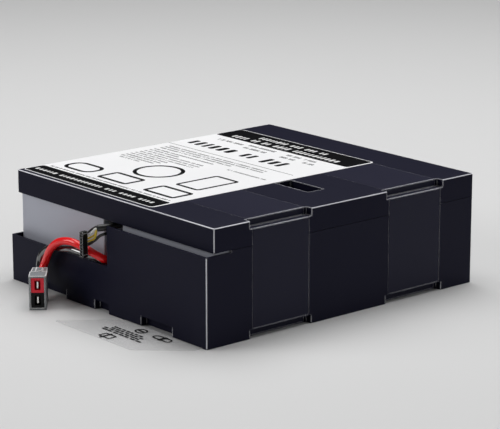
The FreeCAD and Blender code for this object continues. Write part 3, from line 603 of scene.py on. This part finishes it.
@dataclass
class InkLayer:
    """A thin layer of print: filled bars and outline frames, all with rounded corners.

    A bar's outline is four quarter circles, one about each corner's centre, joined by straight sides. All
    bars have the same number of points, and so have all frames, so each kind is worked out as one array.
    Lengths are in millimetres.
    """

    name: str
    finish: Finish
    slot: str
    bottom: float
    top: float
    bar_steps: int = 4
    frame_steps: int = 14
    bars: list[tuple[float, float, float, float, float]] = field(default_factory=list)
    frames: list[tuple[float, float, float, float, float, float]] = field(default_factory=list)

    def bar(self, x0: float, x1: float, y0: float, y1: float, radius: float) -> None:
        """Add a filled bar between two corners."""
        self.bars.append((x0, x1, y0, y1, radius))

    def frame(self, x0: float, x1: float, y0: float, y1: float, radius: float, stroke: float) -> None:
        """Add an outline between two corners, with a line of the given width inside it."""
        self.frames.append((x0, x1, y0, y1, radius, stroke))

    def words(self, x0: float, x1: float, y: float, height: float, stroke: float, seed: int) -> None:
        """Add a row of small upright bars in groups, as dense as a line of print but spelling nothing.

        Args:
            x0: Where the row starts.
            x1: Where it ends.
            y: Its middle line.
            height: The bars' height.
            stroke: The bars' usual width.
            seed: Fixes the draw of widths and gaps.
        """
        draw = np.random.default_rng(seed)
        count = int((x1 - x0) / (stroke * MEAN_BAR_PITCH)) + 1
        widths = stroke * draw.uniform(*BAR_WIDTHS, count)
        gaps = stroke * np.where(draw.random(count) < GROUP_SHARE, GROUP_GAP, BAR_GAP)
        starts = x0 + np.concatenate(([0.0], np.cumsum(widths + gaps)[:-1]))
        rises = height * draw.uniform(*BAR_RISES, count)
        for start, width, rise in zip(starts, widths, rises):
            if start + width <= x1:
                self.bar(start, start + width, y - rise, y + rise, min(width, rise) * BAR_CORNER)

    def _outlines(self, rows: np.ndarray, steps: int) -> np.ndarray:
        """Work out rounded rectangles.

        A point is its corner's centre plus the radius times the cosine and sine of an angle. The angle goes
        through a quarter turn at each corner, and the next corner takes it up where the last one left it.

        Args:
            rows: One rectangle each, as x0, x1, y0, y1 and radius.
            steps: The points on a corner.

        Returns:
            One loop of points for each row.
        """
        x0, x1, y0, y1, radius = (rows[:, k, None] for k in range(5))
        quarter = np.linspace(0.0, math.pi / 2, steps)
        angle = np.concatenate([quarter + math.pi / 2 * k for k in range(4)])[None, :]
        right = np.repeat([1.0, 0.0, 0.0, 1.0], steps)[None, :]
        upper = np.repeat([1.0, 1.0, 0.0, 0.0], steps)[None, :]
        cx = np.where(right > 0.5, x1 - radius, x0 + radius)
        cy = np.where(upper > 0.5, y1 - radius, y0 + radius)
        return np.stack([cx + radius * np.cos(angle), cy + radius * np.sin(angle)], axis=-1)

    def build(self) -> bpy.types.Object:
        """Raise every outline into a closed plate.

        Returns:
            One mesh object that holds the whole layer.
        """
        points: list[np.ndarray] = []
        faces: list[tuple[int, ...]] = []
        offset = 0
        if self.bars:
            offset = self._add_plates(self._outlines(np.array(self.bars), self.bar_steps), points, faces)
        if self.frames:
            rows = np.array(self.frames)
            outer = self._outlines(rows[:, :5], self.frame_steps)
            shrunk = rows[:, :5] + rows[:, 5:6] * np.array(INSET)
            shrunk[:, 4] = np.maximum(shrunk[:, 4], SMALLEST_CORNER)
            self._add_rings(outer, self._outlines(shrunk, self.frame_steps), points, faces, offset)
        verts = np.concatenate(points) * MM
        return add_piece(self.name, verts, faces, self.finish)

    def _raise(self, loops: np.ndarray, height: float) -> np.ndarray:
        """Put flat loops at a height, as rows of x, y, z."""
        flat = loops.reshape(-1, 2)
        return np.column_stack([flat, np.full(len(flat), height)])

    def _add_plates(self, loops: np.ndarray, points: list, faces: list) -> int:
        """Add closed plates: a top loop, a bottom loop and a wall between them.

        Args:
            loops: The plates' outlines.
            points: Takes the new points.
            faces: Takes the new faces.

        Returns:
            How many points were added.
        """
        count, size = loops.shape[:2]
        points += [self._raise(loops, self.top), self._raise(loops, self.bottom)]
        top = np.arange(count * size).reshape(count, size)
        low = top + count * size
        faces += [tuple(row) for row in top.tolist()]
        faces += [tuple(row) for row in low[:, ::-1].tolist()]
        wall = np.stack([low, np.roll(low, -1, 1), np.roll(top, -1, 1), top], axis=-1)
        faces += [tuple(row) for row in wall.reshape(-1, 4).tolist()]
        return 2 * count * size

    def _add_rings(
        self, outer: np.ndarray, inner: np.ndarray, points: list, faces: list, offset: int
    ) -> None:
        """Add closed rings: walls round the outer and the inner loop, and flat bands between them.

        Args:
            outer: The rings' outer outlines.
            inner: Their inner outlines.
            points: Takes the new points.
            faces: Takes the new faces.
            offset: The points that came before.
        """
        count, size = outer.shape[:2]
        layers = [(outer, self.top), (outer, self.bottom), (inner, self.top), (inner, self.bottom)]
        points += [self._raise(loops, height) for loops, height in layers]
        block = np.arange(count * size).reshape(count, size) + offset
        out_top, out_low, in_top, in_low = (block + k * count * size for k in range(4))
        for first, second in ((out_low, out_top), (out_top, in_top), (in_top, in_low), (in_low, out_low)):
            quads = np.stack([first, np.roll(first, -1, 1), np.roll(second, -1, 1), second], axis=-1)
            faces += [tuple(row) for row in quads.reshape(-1, 4).tolist()]


# White rows on the label's black bands, and its one large row: start and end along X, middle line along Y,
# height, stroke and seed
BAND_ROWS = (
    (-68.7, 1.3, 73.6, 5.6, 2.1, 11),
    (-87.0, 22.0, 64.4, 6.2, 2.3, 12),
    (-96.0, 29.5, -98.4, 3.6, 2.1, 13),
)
LARGE_ROW = (-92.0, 9.0, 30.6, 12.5, 4.4, 30)

# Further rows on the label: start and end along X, middle line along Y
RATING_ROWS = (
    (-86.0, -60.0, 49.8), (-56.0, -27.5, 52.4), (-54.0, -31.0, 45.6), (-17.0, -2.5, 52.4),
    (-16.0, -2.0, 45.6), (1.0, 12.5, 52.4), (7.0, 18.0, 45.6),
)
SMALL_PRINT_ROWS = (
    (-91.0, 11.5, 9.8), (-91.0, 11.5, 6.0), (-91.0, -16.0, 2.0), (-91.0, -28.0, -3.4),
    (-91.0, -60.0, -7.4), (-91.0, -28.5, -11.6), (-91.0, -27.5, -15.8), (-91.0, -29.5, -19.8),
    (-91.0, -49.5, -23.8), (-91.0, -52.0, -27.8), (-91.0, -56.0, -31.6), (-88.0, -67.0, -35.4),
    (-10.0, 30.0, -6.0), (-95.0, 32.0, -87.4),
)

# Outlines on the label and on the pull tab: two limits along X, two along Y, corner radius, line width
LABEL_OUTLINES = (
    (-53.0, -18.0, -60.5, -26.5, 17.0, 2.8),
    (-1.5, 22.0, -58.0, -22.0, 3.0, 2.4),
    (-92.0, -62.0, -83.0, -64.5, 8.0, 2.8),
    (-52.0, -21.0, -83.0, -64.5, 3.0, 2.8),
    (-3.5, 28.0, -83.0, -64.5, 3.0, 2.8),
)
TAB_OUTLINES = (
    (35.0, 46.0, -147.6, -140.8, 1.2, 1.1),
    (42.0, 51.0, -126.6, -119.0, 3.8, 1.1),
    (59.0, 75.4, -125.4, -119.8, 2.8, 1.1),
)

# A line ruled across the label, and bars across the pull tab's outlines: two limits along X, two along Y,
# corner radius
RULED_LINE = (-100.0, 30.0, 15.7, 16.3, 0.2)
TAB_BARS = (
    (38.6, 40.2, -149.4, -139.6, 0.4),
    (43.6, 49.4, -123.6, -122.0, 0.4),
    (66.0, 68.4, -126.2, -119.0, 0.4),
)


@dataclass
class TopLabel:
    """Print on the cover's label: black bands at both ends and plain generic bars and outlines between.

    Lengths are in millimetres.
    """

    face: float = 74.15
    ink: float = 0.02
    left: float = -99.6
    right: float = 35.9
    front: float = -105.8
    rear: float = 81.6
    rear_band_start: float = 58.2
    front_band_end: float = -90.2
    band_corner: float = 2.2
    rating_height: float = 3.6
    rating_stroke: float = 1.0
    rating_seed: int = 20
    small_height: float = 2.2
    small_stroke: float = 0.7
    small_seed: int = 40

    def build(self) -> None:
        """Print the bands, then the dark, grey and white marks."""
        low, high = self.face - self.ink, self.face + self.ink
        dark = InkLayer("label_ink_black", INK_BLACK, "label_film", low, high)
        grey = InkLayer("label_ink_grey", INK_GREY, "label_film", low, high)
        white = InkLayer("label_ink_white", INK_WHITE, "label_film", self.face, self.face + 2 * self.ink)
        dark.bar(self.left, self.right, self.rear_band_start, self.rear, self.band_corner)
        dark.bar(self.left, self.right, self.front, self.front_band_end, self.band_corner)
        for row in BAND_ROWS:
            white.words(*row)
        for seed, row in enumerate(RATING_ROWS, self.rating_seed):
            dark.words(*row, self.rating_height, self.rating_stroke, seed)
        dark.words(*LARGE_ROW)
        grey.bar(*RULED_LINE)
        for seed, row in enumerate(SMALL_PRINT_ROWS, self.small_seed):
            grey.words(*row, self.small_height, self.small_stroke, seed)
        for outline in LABEL_OUTLINES:
            dark.frame(*outline)
        for layer in (dark, grey, white):
            layer.build()


@dataclass
class PullTabPrint:
    """Small generic print on the clear pull tab.

    Each row starts a little further left and is a little longer than the one behind it. It is cut in equal
    parts, each followed by one of three gaps, and the rows are set off sideways against each other. Lengths
    are in millimetres, and the two shifts between rows are shares of a part.
    """

    face: float = 0.3
    ink: float = 0.02
    rows: int = 4
    parts: int = 7
    first_line: float = -129.4
    line_pitch: float = 2.5
    half_line: float = 0.7
    first_left: float = 28.1
    left_shift: float = 1.15
    first_length: float = 28.9
    length_growth: float = 3.45
    odd_shift: float = 0.35
    pair_shift: float = 0.2
    gap: float = 0.6
    gap_growth: float = 0.5
    corner: float = 0.3

    def build(self) -> None:
        """Print the rows, three small outlines and a bar across each on the film's free end."""
        layer = InkLayer("pull_tab_ink", FILM_INK, "clear_film", self.face - self.ink, self.face + self.ink)
        for row in range(self.rows):
            self._print_row(layer, row)
        for outline in TAB_OUTLINES:
            layer.frame(*outline)
        for bar in TAB_BARS:
            layer.bar(*bar)
        layer.build()

    def _print_row(self, layer: InkLayer, row: int) -> None:
        """Print one row of bars.

        Args:
            layer: The print that takes the bars.
            row: The row's number, from the rear.
        """
        y = self.first_line - self.line_pitch * row
        left = self.first_left - self.left_shift * row
        step = (self.first_length + self.length_growth * row) / self.parts
        shift = self.odd_shift * (row % 2) - self.pair_shift * (row // 2)
        for part in range(self.parts):
            start = left + step * (part + shift)
            end = start + step - self.gap - self.gap_growth * ((2 * part + row) % 3)
            layer.bar(start, end, y - self.half_line, y + self.half_line, self.corner)


@dataclass
class Cord:
    """A free cord: a smooth line drawn through the pull of its route's points.

    The line is a spline of order three that starts at the first point, ends at the last and is drawn towards
    each point between them. A round section is carried along it. Lengths are in millimetres.
    """

    name: str
    route: list[Point]
    diameter: float
    length: float
    finish: Finish
    slot: str
    far_end: FarEnd
    on_it: tuple[str, ...]
    stiffness: str = "limp"

    def build(self) -> bpy.types.Object:
        """Returns:
            The curve object.
        """
        curve = bpy.data.curves.new(self.name, "CURVE")
        curve.dimensions = "3D"
        curve.resolution_u = LINE_STEPS
        curve.bevel_depth = self.diameter * MM / 2
        curve.bevel_resolution = SECTION_STEPS
        curve.use_fill_caps = True
        spline = curve.splines.new("NURBS")
        spline.points.add(len(self.route) - 1)
        points = np.column_stack([np.array(self.route) * MM, np.ones(len(self.route))])
        spline.points.foreach_set("co", points.ravel())
        spline.order_u = 3
        spline.use_endpoint_u = True
        curve.materials.append(self.finish.material())
        piece = bpy.data.objects.new(self.name + "_line", curve)
        bpy.context.scene.collection.objects.link(piece)
        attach(piece, BODY)
        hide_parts(self.name)
        LOG.info("laid %s", self.name)
        return piece


@dataclass
class Wiring:
    """The two power leads, the sense cable and the sense connector's single wire."""

    cords: list[Cord]

    def build(self) -> None:
        """Lay each cord in turn."""
        for cord in self.cords:
            cord.build()


@dataclass(frozen=True)
class SoftBox:
    """A square studio light that faces one point, with lengths in metres."""

    name: str
    place: Point
    aim: Point
    size: float
    watts: float

    def build(self) -> None:
        """Hang the light and turn it to its aim.

        The tilt's tangent is the flat distance over the height above the aim. The heading is the angle from
        -Y of the line from the aim to the light, seen from above.
        """
        lamp = bpy.data.lights.new(self.name, "AREA")
        lamp.shape = "SQUARE"
        lamp.size = self.size
        lamp.energy = self.watts
        holder = bpy.data.objects.new(self.name, lamp)
        bpy.context.scene.collection.objects.link(holder)
        away = np.array(self.place) - np.array(self.aim)
        flat = math.hypot(away[0], away[1])
        holder.location = self.place
        holder.rotation_euler = (math.atan2(flat, away[2]), 0.0, math.atan2(away[0], -away[1]))


SOFT_BOXES = (
    SoftBox("overhead", (-0.25, 0.3, 1.6), (0.0, 0.0, 0.0), 1.6, 32.0),
    SoftBox("front_left", (-0.9, -1.5, 0.9), (0.0, 0.0, 0.05), 0.9, 11.0),
    SoftBox("right_rear", (1.7, 0.9, 1.0), (0.0, 0.0, 0.05), 0.8, 6.0),
)


@dataclass
class Studio:
    """Pale floor, soft light and the camera.

    Lengths are in metres, the two angles in degrees, and the lens and sensor in millimetres.
    """

    eye: Point = (1.0706, -0.9101, 0.4056)
    heading: float = 49.4842
    tilt: float = 14.4061
    lens: float = 158.28
    sensor: float = 36.0
    near_limit: float = 0.05
    floor_half: float = 6.0
    floor_drop: float = 0.0001
    world_grey: float = 0.5
    world_strength: float = 0.12

    def build(self) -> None:
        """Set up the camera, the floor, the lights and the surrounding tone."""
        self._camera()
        self._floor()
        for box in SOFT_BOXES:
            box.build()
        world = bpy.data.worlds.new("surround")
        world.use_nodes = True
        tone = world.node_tree.nodes["Background"]
        tone.inputs["Color"].default_value = (*[self.world_grey] * 3, 1.0)
        tone.inputs["Strength"].default_value = self.world_strength
        bpy.context.scene.world = world
        bpy.context.scene.view_settings.view_transform = "Standard"

    def _camera(self) -> None:
        """Stand the camera where the photographer's was."""
        lens = bpy.data.cameras.new("camera")
        lens.lens = self.lens
        lens.sensor_width = self.sensor
        lens.sensor_fit = "HORIZONTAL"
        lens.clip_start = self.near_limit
        camera = bpy.data.objects.new("camera", lens)
        camera.location = self.eye
        camera.rotation_euler = (math.radians(90.0 - self.tilt), 0.0, math.radians(self.heading))
        bpy.context.scene.collection.objects.link(camera)
        bpy.context.scene.camera = camera

    def _floor(self) -> None:
        """Lay the floor just under the cartridge."""
        mesh = bpy.data.meshes.new("floor")
        corners = np.array([(-1.0, -1.0), (1.0, -1.0), (1.0, 1.0), (-1.0, 1.0)]) * self.floor_half
        level = np.full(len(corners), -self.floor_drop)
        mesh.from_pydata(np.column_stack([corners, level]).tolist(), [], [(0, 1, 2, 3)])
        mesh.materials.append(FLOOR_PAPER.material())
        floor = bpy.data.objects.new("floor", mesh)
        bpy.context.scene.collection.objects.link(floor)


# Routes are listed from the end inside the shells to the end in a connector
CORDS: list[Cord] = [
    Cord(
        "red_lead",
        [
            (-13.725, 4.9, 53.1), (-6.725, 4.9, 53.1), (-5.2, -1.8, 49.2), (-5, -13, 43.9), (-4.4, -35, 37),
            (-4.5, -68, 30.8), (-4.5, -92, 29), (-3.2, -107, 30.4), (-3.8, -114.2, 34.4), (-9, -117.6, 37.6),
            (-16.4, -120.2, 40.4), (-26, -122.6, 42.9), (-38, -124.2, 40.4), (-47.2, -124.3, 32.6),
            (-55.2, -121.5, 23.6), (-56.2, -123, 19), (-54.291, -126.342, 16.075),
            (-50.361, -129.593, 16.075),
        ],
        5.0,
        205.8,
        RED_SILICONE,
        "red_lead",
        FarEnd.CONNECTOR,
        ("plug_shell", "red_housing", "red_contact"),
        "limp",
    ),
    Cord(
        "black_lead",
        [
            (13.725, 4.9, 53.1), (6.725, 4.9, 53.1), (5.2, -1.8, 49.2), (5, -13, 43.6), (4.4, -35, 34.5),
            (4, -64, 25.8), (1.2, -86, 21.2), (-3.4, -100.5, 20.6), (-7.2, -110.9, 26), (-10.6, -111.6, 33.2),
            (-14.4, -116.6, 34.8), (-20.4, -118.8, 35.4), (-29.4, -119.8, 36.3), (-40, -118.7, 34.2),
            (-50.4, -118.4, 33), (-58, -118.9, 30), (-62.2, -120.3, 25.2), (-62.6, -121.4, 19.2),
            (-60.4, -122.8, 13.6), (-57.2, -124.4, 9.4), (-54.137, -126.47, 6.225),
            (-50.361, -129.593, 6.225),
        ],
        5.0,
        222.0,
        BLACK_SILICONE,
        "black_lead",
        FarEnd.CONNECTOR,
        ("black_housing", "black_contact"),
        "limp",
    ),
    Cord(
        "sense_cable",
        [
            (0, -10, 49.6), (0.6, -26, 51.4), (1, -56, 53.2), (1.3, -88, 55), (1.2, -106, 55.8),
            (0.1, -114.6, 55.4), (-3.7, -117.6, 54.6),
        ],
        4.4,
        109.6,
        JACKET,
        "black_jacket",
        FarEnd.CONNECTOR,
        ("sense_core_black", "sense_core_white", "sense_core_yellow", "sense_core_lemon", "sense_housing"),
        "medium",
    ),
    Cord(
        "sense_tail",
        [
            (21.65, 2.3, 52.4), (21.65, -1.1, 52.4), (16.2, -1, 50.4), (10.4, 0.2, 46.6), (4.6, 0.6, 43),
            (0.4, -4, 40.9), (-0.2, -15, 41.2), (-1, -34, 43.6), (-2.4, -66, 47.6), (-1.8, -94, 49.8),
            (-1.2, -108, 50.9), (-1.4, -114, 50.8), (-4.4, -115.6, 49.4), (-8.4, -116, 45.8),
            (-10.85, -119.209, 43.05), (-10.399, -121.77, 43.05),
        ],
        1.9,
        154.7,
        CORE_BLACK,
        "black_core",
        FarEnd.CONNECTOR,
        ("sense_contacts",),
        "limp",
    ),
]


def main() -> None:
    """Build the looks in order: camera and cords first, then finishes and print."""
    logging.basicConfig(level=logging.INFO)
    Studio().build()
    Wiring(CORDS).build()
    dress_nodes()
    TopLabel().build()
    PullTabPrint().build()


if __name__ == "__main__":
    main()
